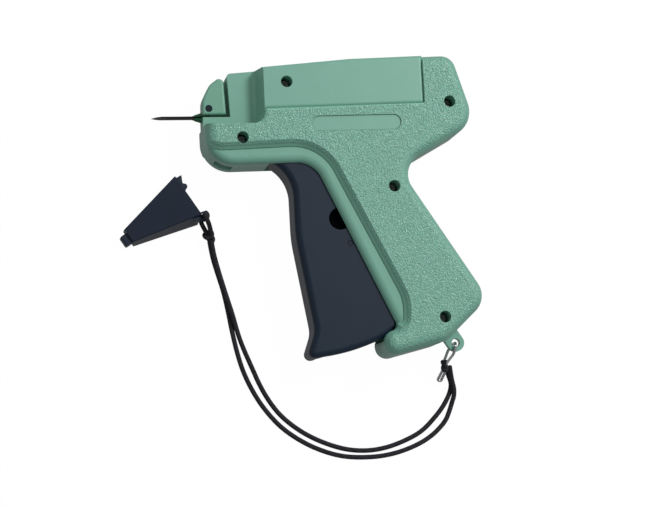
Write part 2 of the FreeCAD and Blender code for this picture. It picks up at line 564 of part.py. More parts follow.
def screws():
    """Return the five casing screws, each with a cross recess in its head."""
    made = []
    for point in SCREW_POINTS:
        seat = MID + SEAT
        head = disc(point, HEAD_R, seat, seat + HEAD_H)
        head = head.makeFillet(HEAD_H * 0.45, top_edges(head, seat + HEAD_H))
        shank = disc(point, SCREW_R, MID - SCREW_REACH, seat)
        cross_depth = seat + HEAD_H * 0.45
        for dx, dy in ((CROSS_LEN, CROSS_W), (CROSS_W, CROSS_LEN)):
            slot = bar((point[0] - dx / 2, point[0] + dx / 2), (point[1] - dy / 2, point[1] + dy / 2),
                       (cross_depth, seat + HEAD_H + 1))
            head = head.cut(slot)
        made.append(head.fuse(shank))
    return Part.makeCompound(made)


# ---- needle and lock
def needle():
    """Return the hollow needle: a slit tube that opens into a trough with a lens-shaped point."""
    rear = NOSE_X + HUB_DEPTH
    root = rod((NOSE_X - HUB_CONE - ROOT_LEN, rear), NEEDLE_Y, MID, NEEDLE_ROOT_R)
    tube = rod((NEEDLE_TIP_X, rear), NEEDLE_Y, MID, NEEDLE_R).fuse(root)
    tube = tube.cut(rod((NEEDLE_TIP_X - 1, rear + 1), NEEDLE_Y, MID, NEEDLE_BORE_R))
    slit = bar((TROUGH_X - 1, rear + 1), (NEEDLE_Y - NEEDLE_SLOT / 2, NEEDLE_Y + NEEDLE_SLOT / 2),
               (MID, MID + NEEDLE_R + 1))
    top = MID + NEEDLE_R + 0.1
    opening = [V(NEEDLE_TIP_X - 1, 0, MID - NEEDLE_R * 0.4), V(NEEDLE_TIP_X, 0, MID - NEEDLE_R * 0.3),
               V(TROUGH_X - 2.0, 0, MID + NEEDLE_R * 0.15), V(TROUGH_X, 0, top), V(NEEDLE_TIP_X - 1, 0, top)]
    above = Part.Face(Part.makePolygon(opening + [opening[0]])).extrude(V(0, 4 * NEEDLE_R, 0))
    above.translate(V(0, NEEDLE_Y - 2 * NEEDLE_R, 0))
    tube = tube.cut(slit).cut(above)
    for side in (1, -1):
        tip, belly = V(NEEDLE_TIP_X, NEEDLE_Y, 0), V(NEEDLE_TIP_X + BEVEL, NEEDLE_Y + side * (NEEDLE_R + 0.05), 0)
        bow = V(NEEDLE_TIP_X + BEVEL * 0.4, NEEDLE_Y + side * NEEDLE_R * 0.68, 0)
        out = V(NEEDLE_TIP_X, NEEDLE_Y + side * (NEEDLE_R + 1), 0)
        outline = Part.Wire([Part.Arc(tip, bow, belly).toShape(), Part.makeLine(belly, out), Part.makeLine(out, tip)])
        tube = tube.cut(Part.Face(outline).extrude(V(0, 0, BODY_THICK)))
    return tube


def needle_hub():
    """Return the hub that holds the needle: a plug with a cone in front and a groove for the lock."""
    plug = rod((NOSE_X, NOSE_X + HUB_DEPTH), NEEDLE_Y, MID, HUB_R)
    cone = Part.makeCone(HUB_TIP_R, HUB_R, HUB_CONE, V(NOSE_X - HUB_CONE, NEEDLE_Y, MID), AHEAD)
    hub = plug.fuse(cone)
    hub = hub.cut(rod((NOSE_X - HUB_CONE - 1, NOSE_X + HUB_DEPTH + 1), NEEDLE_Y, MID, NEEDLE_ROOT_R + PIN_FIT / 2))
    slit = bar((NOSE_X - HUB_CONE - 1, NOSE_X + HUB_DEPTH + 1), (NEEDLE_Y - HUB_SLIT / 2, NEEDLE_Y + HUB_SLIT / 2),
               (MID, MID + HUB_R + 1))
    return hub.cut(slit).cut(disc(LOCK_POINT, LOCK_R + PIN_FIT, 0, BODY_THICK))


def needle_lock_lever():
    """Return the lock: a shaft across the nose with a flat towards the hub when open, and a thumb lever."""
    under = MID - FIN_HALF - SIDE_FIT
    top = MID + FIN_HALF - PIN_FIT * 2
    shaft = disc(LOCK_POINT, LOCK_R, under - 0.1, top)
    flat_x = LOCK_POINT[0] + LOCK_R * 0.55
    wide, tall = 2 * LOCK_R, HUB_R + SIDE_FIT
    shaft = shaft.cut(bar((flat_x, flat_x + wide), (LOCK_POINT[1] - wide, LOCK_POINT[1] + wide),
                          (MID - tall, MID + tall)))
    tip = polar(LOCK_POINT, LEVER_LEN, LEVER_BEARING)
    side = LEVER_WIDTH / 2
    across = (side * cos(radians(LEVER_BEARING + 90)), side * sin(radians(LEVER_BEARING + 90)))
    arm = [(LOCK_POINT[0] - across[0] * 1.3, LOCK_POINT[1] - across[1] * 1.3, 0),
           (tip[0] - across[0] * 0.8, tip[1] - across[1] * 0.8, 1.2),
           (tip[0] + across[0] * 0.8, tip[1] + across[1] * 0.8, 1.2),
           (LOCK_POINT[0] + across[0] * 1.3, LOCK_POINT[1] + across[1] * 1.3, 0)]
    lever = slab(arm, under - LEVER_THICK, under).fuse(disc(LOCK_POINT, side * 1.3, under - LEVER_THICK, under))
    thumb = polar(LOCK_POINT, LEVER_LEN - THUMB_INSET, LEVER_BEARING)
    return lever.fuse(disc(thumb, THUMB_R, under - LEVER_THICK - THUMB_H, under - LEVER_THICK + 0.1)).fuse(shaft)


def cutter_blade():
    """Return the small steel blade beside the fastener channel, ground to an edge at its top."""
    blade = bar(BLADE_X, BLADE_Y, BLADE_Z)
    bottom = BLADE_Y[1] - 0.7
    edge = [V(BLADE_X[0], bottom, 0), V(BLADE_X[0], BLADE_Y[1] + 1, 0), V(BLADE_X[1] - 0.08, BLADE_Y[1] + 1, 0),
            V(BLADE_X[1] - 0.08, BLADE_Y[1], 0)]
    return blade.cut(Part.Face(Part.makePolygon(edge + [edge[0]])).extrude(V(0, 0, BODY_THICK)))


# ---- feed
def comb_guide():
    """Return the square tube that leads the comb down through the nose, open on the feed wheel's side."""
    outer = bar((GUIDE_X[0] - GUIDE_WALL, GUIDE_X[1] + GUIDE_WALL), (UNDER_Y, LEDGE_Y - WALL - PIN_FIT),
                (MID - CHANNEL_T / 2 - GUIDE_WALL, MID + CHANNEL_T / 2 + GUIDE_WALL))
    inner = bar(GUIDE_X, (UNDER_Y - 1, LEDGE_Y), (MID - CHANNEL_T / 2, MID + CHANNEL_T / 2))
    window = bar((FEED_X - 0.3, FEED_X + FEED_T + 0.3), (WHEEL_Y - FEED_TIP_R, LEDGE_Y), (0, MID))
    guide = outer.cut(inner).cut(window)
    return guide.common(inset_slab(BODY, WALL + PIN_FIT, 0, BODY_THICK))


def toothed_wheel(centre, teeth, pitch_r, low, high, bearing):
    """Return a spur wheel with one tooth at a bearing; its teeth taper from the root to the tip."""
    addendum = MODULE * ADDENDUM
    root_r = pitch_r - MODULE * DEDENDUM
    tip_r = pitch_r + addendum
    pitch = 2 * pi * pitch_r / teeth
    wheel = disc(centre, root_r, low, high)
    root_w = pitch * (TOOTH_SHARE + 0.10)
    tip_w = pitch * (TOOTH_SHARE - 0.14)
    flank = [V(root_r * 0.8, -root_w / 2, low), V(pitch_r, -pitch * TOOTH_SHARE / 2, low), V(tip_r, -tip_w / 2, low),
             V(tip_r, tip_w / 2, low), V(pitch_r, pitch * TOOTH_SHARE / 2, low), V(root_r * 0.8, root_w / 2, low)]
    tooth = Part.Face(Part.makePolygon(flank + [flank[0]])).extrude(V(0, 0, high - low))
    row = []
    for i in range(teeth):
        copy = tooth.copy()
        copy.rotate(V(0, 0, 0), UP, bearing + 360.0 * i / teeth)
        copy.translate(V(centre[0], centre[1], 0))
        row.append(copy)
    return wheel.multiFuse(row).removeSplitter()


def drive_gear():
    """Return the drive gear: the wheel for the rack and the pinion for the trigger's sector on one bore."""
    wheel_low = MID - WHEEL_T / 2
    pinion_low = MID + TRIGGER_HALF - GEAR_T - 0.4
    gear = toothed_wheel(GEAR_POINT, WHEEL_TEETH, WHEEL_R, wheel_low, wheel_low + WHEEL_T, 90)
    neck = disc(GEAR_POINT, PINION_R - MODULE * DEDENDUM, wheel_low + WHEEL_T - 0.1, pinion_low + 0.1)
    pinion = toothed_wheel(GEAR_POINT, PINION_TEETH, PINION_R, pinion_low, MID + TRIGGER_HALF + 0.3, GEAR_BEARING)
    gear = gear.fuse(neck).fuse(pinion)
    return gear.cut(disc(GEAR_POINT, AXLE_R + RUN_FIT / 2, 0, BODY_THICK))


def feed_wheel():
    """Return the feed wheel: saw teeth that lift one fastener of the comb at a time."""
    spots = []
    for i in range(FEED_TEETH):
        start = 360.0 * i / FEED_TEETH
        spots.append(polar((WHEEL_Y, WHEEL_Z), FEED_ROOT_R, start))
        spots.append(polar((WHEEL_Y, WHEEL_Z), FEED_TIP_R, start + 24))
        spots.append(polar((WHEEL_Y, WHEEL_Z), FEED_TIP_R, start + 29))
        spots.append(polar((WHEEL_Y, WHEEL_Z), FEED_ROOT_R, start + 31))
    ring = [V(FEED_X, y, z) for y, z in spots]
    wheel = Part.Face(Part.makePolygon(ring + [ring[0]])).extrude(V(FEED_T, 0, 0))
    return wheel.cut(rod((FEED_X - 1, FEED_X + FEED_T + 1), WHEEL_Y, WHEEL_Z, FEED_AXLE_R + PIN_FIT))


def feed_pawl():
    """Return the leaf spring that keeps the feed wheel from turning back."""
    foot = FAR_RIB_Y[1]
    floor = MID - RIM_HALF + ROOF + PIN_FIT
    tip = WHEEL_Y - FEED_TIP_R - 0.1
    line = [V(FEED_X + 0.3, foot, floor), V(FEED_X + 0.3, foot + 0.4, floor),
            V(FEED_X + 0.3, foot + 0.4, WHEEL_Z - 1.6), V(FEED_X + 0.3, tip, WHEEL_Z - 0.6),
            V(FEED_X + 0.3, tip - 0.3, WHEEL_Z - 0.2), V(FEED_X + 0.3, foot, WHEEL_Z - 1.3)]
    return Part.Face(Part.makePolygon(line + [line[0]])).extrude(V(FEED_T - 0.6, 0, 0))


# ---- trigger and drive
def sector_ring(inner, outer, first, last, low, high):
    """Return part of a ring about the trigger pivot between two bearings."""
    ring = Part.makeCylinder(outer, high - low, V(PIVOT[0], PIVOT[1], low), UP, last - first)
    ring = ring.cut(disc(PIVOT, inner, low - 1, high + 1))
    ring.rotate(V(PIVOT[0], PIVOT[1], 0), UP, first)
    return ring


def sector_teeth(low, high):
    """Return the teeth that point from the sector's rim towards the pivot."""
    pitch = 2 * pi * RING_R / RING_TEETH
    step = 360.0 / RING_TEETH
    root_r = RING_R + MODULE * DEDENDUM
    tip_r = RING_R - MODULE * ADDENDUM
    wide = pitch * (TOOTH_SHARE + 0.10) / 2
    narrow = pitch * (TOOTH_SHARE - 0.12) / 2
    flank = [V(root_r + 0.3, -wide, low), V(tip_r, -narrow, low), V(tip_r, narrow, low), V(root_r + 0.3, wide, low)]
    tooth = Part.Face(Part.makePolygon(flank + [flank[0]])).extrude(V(0, 0, high - low))
    row = []
    count = int(TRIGGER_TURN / step) + 2
    for i in range(count):
        copy = tooth.copy()
        copy.rotate(V(0, 0, 0), UP, GEAR_BEARING + step * (0.5 - i))
        copy.translate(V(PIVOT[0], PIVOT[1], 0))
        row.append(copy)
    return row


def foot_slant(low, high):
    """Return what is cut off the trigger's foot so that it slants inwards below its upper edge."""
    reach = 40.0
    side = [V(-reach, 0.3, high), V(-reach, FOOT_SLANT, low), V(-reach, -9, low), V(-reach, -9, high)]
    off = Part.Face(Part.makePolygon(side + [side[0]])).extrude(V(2 * reach, 0, 0))
    off.rotate(V(0, 0, 0), UP, FOOT_LEAN)
    off.translate(V(TRIGGER_BOW[0], TRIGGER_BOW[1], 0))
    return off


def trigger_shell(low, high):
    """Return the trigger's U-section with its two ears round the pivot."""
    body = slab(TRIGGER_FRONT + TRIGGER_REST, low, high)
    front = [edge for height in (low, high) for edge in top_edges(body, height, trigger_front_edge)]
    body = body.makeFillet(TRIGGER_ROUND, front)
    room = beside(TRIGGER_FRONT, WEB)
    behind = (PIVOT[0] - 20, 60.0, -90.0)
    room = [(behind[0], room[0][1], 0)] + room[:-1] + [
        (room[-1][0], behind[2], 0), (behind[1], behind[2], 0), (behind[1], behind[1], 0), (behind[0], behind[1], 0)]
    body = body.cut(slab(room, low + CHEEK, high - CHEEK)).cut(foot_slant(low, high))
    for a, b in ((low, low + CHEEK), (high - CHEEK, high)):
        body = body.fuse(disc(PIVOT, EAR_R, a, b))
    return body


def gear_room(low):
    """Return the room that the pinion sweeps in the upper cheek while the trigger is pulled."""
    start = GEAR_BEARING - TRIGGER_TURN
    inner, outer = RING_R - 2 * PINION_R - 2 * MODULE, RING_R + MODULE * DEDENDUM
    swept = sector_ring(inner, outer, start, ROOM_END, low, BODY_THICK)
    return swept.fuse(disc(polar(PIVOT, GEAR_GAP, start), PINION_R + 2 * MODULE - 0.6, low, BODY_THICK))


def trigger():
    """Return the trigger: a hollow U-section with two ears on the pivot and a toothed sector on its upper cheek."""
    low, high = MID - TRIGGER_HALF, MID + TRIGGER_HALF
    ring_low = high - GEAR_T
    root_r = RING_R + MODULE * DEDENDUM
    first, last = GEAR_BEARING - TRIGGER_TURN - RING_END, GEAR_BEARING + RING_END
    body = trigger_shell(low, high).cut(gear_room(ring_low - 1))
    body = body.fuse(sector_ring(root_r, root_r + RING_RIM, first, last, ring_low, high))
    body = body.fuse(slab(LOBE, ring_low, high)).multiFuse(sector_teeth(ring_low, high))
    mark = disc(GATE_MARK, GATE_MARK_R, high - 0.3, high + 1).cut(disc(GATE_MARK, GATE_MARK_R - 0.5, high - 1, high + 2))
    body = body.cut(disc(PIVOT, EAR_BORE, 0, BODY_THICK)).cut(mark)
    return body.cut(disc(CORE_HOLE, CORE_HOLE_R, MID, BODY_THICK))


def trigger_front_edge(at):
    """Say whether an edge's middle lies on the front of the trigger."""
    return at.x < -2.0 and at.y < 22.5 or at.y < -62.0 and at.x < -4.0


def slide():
    """Return the slide: a bar with a rack below, bored for the push rod."""
    low, high = MID - SLIDE_T / 2, MID + SLIDE_T / 2
    root_y = RACK_Y + MODULE * DEDENDUM
    body = bar((SLIDE_FRONT, SLIDE_REAR), (root_y, SLIDE_TOP), (low, high))
    pitch = pi * MODULE
    wide, narrow = pitch * (TOOTH_SHARE + 0.10) / 2, pitch * (TOOTH_SHARE - 0.12) / 2
    tip_y = RACK_Y - MODULE * ADDENDUM
    first = int((SLIDE_FRONT - GEAR_POINT[0]) / pitch)
    count = int((SLIDE_REAR - SLIDE_FRONT) / pitch)
    row = []
    for i in range(count):
        x = GEAR_POINT[0] + pitch * (i + first + 0.5)
        flank = [V(x - wide, root_y + 0.3, low), V(x - narrow, tip_y, low), V(x + narrow, tip_y, low),
                 V(x + wide, root_y + 0.3, low)]
        if x - wide > SLIDE_FRONT and x + wide < SLIDE_REAR:
            row.append(Part.Face(Part.makePolygon(flank + [flank[0]])).extrude(V(0, 0, high - low)))
    body = body.multiFuse(row).removeSplitter()
    pocket = bar((SLIDE_FRONT + ROD_GRIP + 4, SLIDE_REAR - 4), (NEEDLE_Y - 2.4, NEEDLE_Y + 2.0), (MID + 1.2, high + 1))
    return body.cut(rod((SLIDE_FRONT - 1, SLIDE_FRONT + ROD_GRIP), NEEDLE_Y, MID, ROD_R)).cut(pocket)


def push_rod():
    """Return the steel rod that pushes a fastener out through the needle."""
    return rod((ROD_REST_X, SLIDE_FRONT + ROD_GRIP), NEEDLE_Y, MID, ROD_R)


def trigger_spring():
    """Return the torsion spring round the pivot boss, with one leg on the trigger and one on the casing."""
    start = MID + CHANNEL_T / 2 + GUIDE_WALL + 0.9
    height = SPRING_PITCH * SPRING_TURNS
    coil = Part.makeHelix(SPRING_PITCH, height, SPRING_R, 0, True)
    coil.rotate(V(0, 0, 0), UP, -90)
    coil.translate(V(PIVOT[0], PIVOT[1], start))
    level = PIVOT[1] - SPRING_R
    near_leg = Part.LineSegment(V(SPRING_LEGS[1], level, start), V(PIVOT[0], level, start)).toShape()
    far_leg = Part.LineSegment(V(PIVOT[0], level, start + height), V(SPRING_LEGS[0], level, start + height)).toShape()
    path = Part.Wire([near_leg] + coil.Edges + [far_leg])
    ring = Part.Wire(Part.makeCircle(SPRING_WIRE_R, V(SPRING_LEGS[1], level, start), V(-1, 0, 0)))
    return path.makePipeShell([ring], True, True)


# ---- lanyard and needle cap
def tube(route, radius):
    """Return a round tube along a route of straight runs joined by tangent arcs."""
    spots = [V(*point) for point in route]
    last = spots[0]
    edges = []
    for i in range(1, len(spots) - 1):
        before = spots[i - 1] - spots[i]
        after = spots[i + 1] - spots[i]
        reach = BEND_SHARE * min(before.Length, after.Length)
        half = before.getAngle(after) / 2
        bend = reach * tan(half)
        before.normalize()
        after.normalize()
        first = spots[i] + before * reach
        middle = spots[i] + (before + after).normalize() * (bend / sin(half) - bend)
        edges.append(Part.LineSegment(last, first).toShape())
        last = spots[i] + after * reach
        edges.append(Part.Arc(first, middle, last).toShape())
    edges.append(Part.LineSegment(last, spots[-1]).toShape())
    ring = Part.Wire(Part.makeCircle(radius, spots[0], spots[1] - spots[0]))
    return Part.Wire(edges).makePipeShell([ring], True, True)


def ball(centre):
    """Return a knot's plain body."""
    return Part.makeSphere(KNOT_R, V(*centre))


def cord(route, radius):
    """Return a length of cord, trimmed where it enters the knots at its ends."""
    return tube(route, radius).cut(ball(CLIP_KNOT)).cut(ball(CAP_KNOT))


def cap_place(shape):
    """Hang a shape of the cap's own frame, with +X from its tip to its open end, by the cap's lug."""
    shape.translate(V(CAP_HANG[0] - CAP_LUG[0], CAP_HANG[1] - CAP_LUG[1], 0))
    shape.rotate(V(CAP_HANG[0], CAP_HANG[1], 0), UP, CAP_BEARING)
    return shape


def cap_section(along, gap):
    """Return the cap's outline at a distance from its tip, inside its surface by a gap."""
    share = along / CAP_LEN
    low = CAP_TIP_LOW + (CAP_BASE_LOW - CAP_TIP_LOW) * share - gap
    high = CAP_TIP_HIGH + (CAP_BASE_HIGH - CAP_TIP_HIGH) * share - gap
    left = CAP_TIP_LEFT + (CAP_BASE_LEFT - CAP_TIP_LEFT) * share - gap
    top = CAP_TIP_H + (CAP_BASE_H - CAP_TIP_H) * share - gap
    corners = [V(along, -low, gap), V(along, left, gap), V(along, left, top), V(along, -high, top)]
    return Part.makePolygon(corners + [corners[0]])


def cap_box():
    """Return the cap's tapered box with its slanted open end, not yet hollow."""
    far = CAP_LEN + 6
    body = Part.makeLoft([cap_section(0, 0), cap_section(far, 0)], True, True)
    body = body.makeFillet(CAP_ROUND, [edge for edge in body.Edges if edge.BoundBox.XLength > CAP_LEN])
    slant = [V(CAP_LEN - CAP_SLANT, -40, -1), V(far + 2, -40, -1), V(far + 2, -40, 40),
             V(CAP_LEN - CAP_SLANT + 40 * CAP_SLANT / CAP_BASE_H, -40, 40)]
    return body.cut(Part.Face(Part.makePolygon(slant + [slant[0]])).extrude(V(0, 80, 0)))


def cap_fittings():
    """Return the cap's spur at the rim, the nub at its tip and the lug for the loop."""
    top = CAP_BASE_H - 0.45
    spur = slab(CAP_SPUR, top - CAP_WALL, top)
    nub = bar((-NUB_LEN, 1), (-NUB_WIDTH / 2 - 0.5, NUB_WIDTH / 2 - 0.5), (1.2, CAP_TIP_H - 1.2))
    nub = nub.makeFillet(0.8, [edge for edge in nub.Edges if edge.BoundBox.XMax < -NUB_LEN + 0.1])
    lug = slab(CAP_NECK, LUG_LOW, LUG_LOW + LUG_T).fuse(disc(CAP_LUG, LUG_R, LUG_LOW, LUG_LOW + LUG_T))
    return spur.fuse(nub).fuse(lug)


def needle_cap():
    """Return the hollow cap with its fittings."""
    room = Part.makeLoft([cap_section(CAP_WALL, CAP_WALL), cap_section(CAP_LEN + 7, CAP_WALL)], True, True)
    body = cap_box().fuse(cap_fittings()).cut(room)
    return cap_place(body.cut(disc(CAP_LUG, LUG_HOLE_R, 0, CAP_BASE_H)))


# ---- the whole tool
def pieces():
    """Return every piece by name, each in its place."""
    shared = common_half()
    boss_end = BODY_THICK - ROOF
    return {
        "left_casing": left_casing(shared),
        "right_casing": right_casing(shared),
        "nose_block": nose_block(),
        "casing_screws": screws(),
        "needle": needle(),
        "needle_hub": needle_hub(),
        "needle_lock_lever": needle_lock_lever(),
        "cutter_blade": cutter_blade(),
        "comb_guide": comb_guide(),
        "feed_wheel": feed_wheel(),
        "feed_wheel_axle": rod((NOSE_X + 1.0, BRACKET_X[1]), WHEEL_Y, WHEEL_Z, FEED_AXLE_R),
        "feed_pawl": feed_pawl(),
        "trigger": trigger(),
        "trigger_spring": trigger_spring(),
        "drive_gear": drive_gear(),
        "drive_gear_axle": disc(GEAR_POINT, AXLE_R, BODY_THICK - boss_end, boss_end),
        "slide": slide(),
        "push_rod": push_rod(),
        "wire_clip": tube(CLIP_ROUTE, CLIP_R),
        "clip_knot": ball(CLIP_KNOT).cut(tube(CLIP_ROUTE, CLIP_R + PIN_FIT)),
        "lanyard_cord_outer": cord(OUTER_ROUTE, CORD_R),
        "lanyard_cord_inner": cord(INNER_ROUTE, CORD_R),
        "cap_knot": ball(CAP_KNOT),
        "cap_loop": cord(LOOP_ROUTE, LOOP_R),
        "needle_cap": needle_cap(),
    }


def centred(made):
    """Move the pieces until the origin is the middle of the underside of the tool without its lanyard."""
    boxes = [shape.optimalBoundingBox(False, False) for name, shape in made.items() if name not in ON_CORD]
    middle_x = (min(box.XMin for box in boxes) + max(box.XMax for box in boxes)) / 2
    middle_y = (min(box.YMin for box in boxes) + max(box.YMax for box in boxes)) / 2
    for shape in made.values():
        shape.translate(V(-middle_x, -middle_y, 0))
    return made


def write(made):
    """Write one STEP file for each piece."""
    os.makedirs("parts", exist_ok=True)
    for name, shape in made.items():
        shape.exportStep("parts/" + name + ".step")


write(centred(pieces()))
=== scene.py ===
"""Looks of a garment tag attacher: a grained green casing, a navy trigger and a needle cap on a black cord.

The tool lies on its right side.  +X runs from the needle to the rear, +Y from the handle to the top, +Z up.
Sizes are in millimetres in the frame of the part's own drawing, and ``row`` turns them into the row frame.
"""

import json
import logging
import math
from dataclasses import dataclass, field
from enum import Enum
from typing import Iterable

import bpy
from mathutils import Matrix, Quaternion, Vector

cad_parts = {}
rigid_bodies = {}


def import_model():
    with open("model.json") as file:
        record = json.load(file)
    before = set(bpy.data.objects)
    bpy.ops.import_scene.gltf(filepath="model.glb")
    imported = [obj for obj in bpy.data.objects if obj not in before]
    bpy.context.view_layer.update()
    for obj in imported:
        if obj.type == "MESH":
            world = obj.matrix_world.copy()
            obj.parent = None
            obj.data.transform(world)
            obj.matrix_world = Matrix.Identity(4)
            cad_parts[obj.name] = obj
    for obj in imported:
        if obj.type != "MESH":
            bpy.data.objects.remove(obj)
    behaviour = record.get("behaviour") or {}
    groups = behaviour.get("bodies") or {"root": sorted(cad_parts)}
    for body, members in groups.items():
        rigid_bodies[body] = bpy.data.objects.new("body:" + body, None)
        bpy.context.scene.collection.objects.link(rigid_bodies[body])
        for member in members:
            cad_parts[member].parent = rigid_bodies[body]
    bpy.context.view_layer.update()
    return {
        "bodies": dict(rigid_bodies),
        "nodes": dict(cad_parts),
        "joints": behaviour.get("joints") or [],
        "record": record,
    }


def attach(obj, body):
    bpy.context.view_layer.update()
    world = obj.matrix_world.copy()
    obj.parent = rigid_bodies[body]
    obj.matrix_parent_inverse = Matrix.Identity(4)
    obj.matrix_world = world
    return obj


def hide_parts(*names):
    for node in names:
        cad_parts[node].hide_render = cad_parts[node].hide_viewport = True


LOG = logging.getLogger("tag_attacher")

MM = 0.001
DRAWING_SHIFT = Vector((7.21003, 5.24171, 0.0))  # from the drawing's origin to the row's
BODY_THICK = 30.0
MID = BODY_THICK / 2

Point = tuple[float, float, float]


def row(point: Iterable[float]) -> Vector:
    """Turn a point of the drawing, in millimetres, into the row frame, in metres."""
    return (Vector(point) + DRAWING_SHIFT) * MM


def linear(colour: tuple[int, int, int]) -> tuple[float, float, float, float]:
    """Turn a screen colour of 0 to 255 into linear light.

    Args:
        colour: Red, green and blue as a screen shows them.

    Returns:
        The colour in linear light, with an alpha of 1.
    """
    shares = [c / 255 for c in colour]
    return tuple(s / 12.92 if s <= 0.04045 else ((s + 0.055) / 1.055) ** 2.4 for s in shares) + (1.0,)


def toned(colour: tuple[int, int, int], tone: float) -> tuple[float, float, float, float]:
    """Return a screen colour in linear light, darker or paler by a factor."""
    return tuple(min(1.0, c * tone) for c in linear(colour)[:3]) + (1.0,)


# ---------------------------------------------------------------- finishes
class Surface(Enum):
    """How a surface is textured."""

    MOULDED = "moulded"
    GRAINED = "grained"
    GROUND = "ground"
    BRAIDED = "braided"
    PLATED = "plated"


@dataclass(frozen=True)
class Finish:
    """One finish: its colour and gloss, and its texture.

    The texture's pitch, its relief and the radius of its softened edges are in millimetres.
    """

    name: str
    colour: tuple[int, int, int]
    surface: Surface
    roughness: float
    metallic: float = 0.0
    pitch: float = 0.5
    relief: float = 0.01
    mottle: float = 0.04
    edge: float = 0.0
    specular: float = 0.5


CASING = Finish("casing green", (119, 173, 154), Surface.GRAINED, 0.40, pitch=0.80, relief=0.26, edge=0.35)
NOSE = Finish("nose green", (113, 166, 145), Surface.MOULDED, 0.38, edge=0.3)
TRIGGER = Finish("trigger navy", (20, 37, 54), Surface.MOULDED, 0.44, mottle=0.15, edge=0.3, specular=0.3)
LEVER = Finish("lever navy", (8, 26, 36), Surface.MOULDED, 0.40, edge=0.2, specular=0.25)
HUB = Finish("hub green", (16, 92, 58), Surface.MOULDED, 0.20)
CAP = Finish("cap black", (22, 36, 54), Surface.MOULDED, 0.46, mottle=0.15, edge=0.3, specular=0.35)
GUIDE = Finish("guide natural", (206, 206, 200), Surface.MOULDED, 0.40)
GEAR = Finish("gear natural", (214, 211, 202), Surface.MOULDED, 0.35)
SLIDE = Finish("slide black", (44, 46, 50), Surface.MOULDED, 0.38)
WHEEL = Finish("wheel red", (170, 52, 42), Surface.MOULDED, 0.35)
NEEDLE = Finish("needle steel", (96, 95, 94), Surface.GROUND, 0.30, metallic=1.0, pitch=0.12)
SCREW = Finish("screw steel", (120, 124, 122), Surface.GROUND, 0.38, metallic=1.0, pitch=0.2)
BLADE = Finish("blade steel", (190, 192, 195), Surface.GROUND, 0.25, metallic=1.0, pitch=0.1)
DRAWN = Finish("drawn steel", (178, 179, 180), Surface.GROUND, 0.26, metallic=1.0, pitch=0.15)
CHROME = Finish("clip chrome", (190, 192, 196), Surface.PLATED, 0.14, metallic=1.0, relief=0.004)
CORD = Finish("cord black", (26, 26, 33), Surface.BRAIDED, 0.85, pitch=0.45, relief=0.02)


# ---- how the textures vary: sizes in millimetres, leans in radians, the others as shares
EDGE_SAMPLES = 4
MOTTLE_SIZE = 9.0
GLOSS_SIZE, GLOSS_SWING = 3.0, 0.12
GROUND_STRETCH, GROUND_TONE, GROUND_SWING = 0.08, 0.72, 0.2
MARK_SIZE, MARK_SWING = 0.8, 0.16
STRAND_LEAN, STRAND_TWIST, STRAND_TONES = 0.8, 0.4, (0.6, 1.4)
STRAND_PITCHES, STRAND_STIR = 20, 1.5
FUZZ_SIZE, FUZZ_SHARE = 0.25, 0.5


@dataclass(frozen=True)
class GrainLook:
    """How the grain looks.

    Values named by pitch, and the stirring's reach, are shares of the finish's pitch.  The painted highlight
    lines' values are in widths of the area's soft edge, and sizes and the seam's range are in millimetres.
    """

    cell_smoothness: float = 0.25
    stir_pitch: float = 1.5
    stir_reach: float = 0.8
    bump_pitch: float = 0.55
    bump_share: float = 0.9
    peel_size: float = 0.5
    peel_share: float = 0.05
    # painted shade: the grain's pits are darkened in colour, as if shade falls in them
    pit_shade_range: tuple[float, float] = (0.35, 0.85)
    pit_shade_share: float = 0.7
    pit_shade_tone: float = 0.74
    # painted glints: pale specks on the grain stand in for the key lamp's highlights
    glint_pitch: float = 0.6
    glint_range: tuple[float, float] = (0.54, 0.68)
    glint_share: float = 0.75
    # painted highlight lines along the label's and the ledge's edges, where rounded edges would catch the key
    # lamp
    edge_highlight_share: float = 0.6
    edge_highlight_rise: tuple[float, float] = (1.5, 0.5)
    edge_highlight_end: float = 4.0
    # the paler tone of all painted glints and painted highlight lines
    highlight_tone: float = 1.45
    seam_range: tuple[float, float] = (0.04, 0.12)
    seam_tone: float = 0.45
    gloss_gain: float = 0.16


@dataclass(frozen=True)
class GrainArea:
    """Where the casing is grained: above a height, outside the lowered label area and the bare name plate.

    Sizes are in the drawing's millimetres, and heights are measured from the parting plane.
    """

    start_height: float = 13.0
    full_height: float = 14.1
    label_low: float = 44.4
    label_lean: float = 0.0327
    label_rear: float = 50.8
    edge: float = 0.35
    # where the painted highlight line along the thin nose's ledge runs
    ledge: float = 38.0
    ledge_ends: tuple[float, float] = (-46.0, -24.0)
    plate_centre: tuple[float, float] = (18.8, 37.6)
    plate_straight: float = 17.1
    plate_radius: float = 3.4
    plate_lean: float = 0.014
    plate_rim: tuple[float, float] = (-0.1, 0.3)


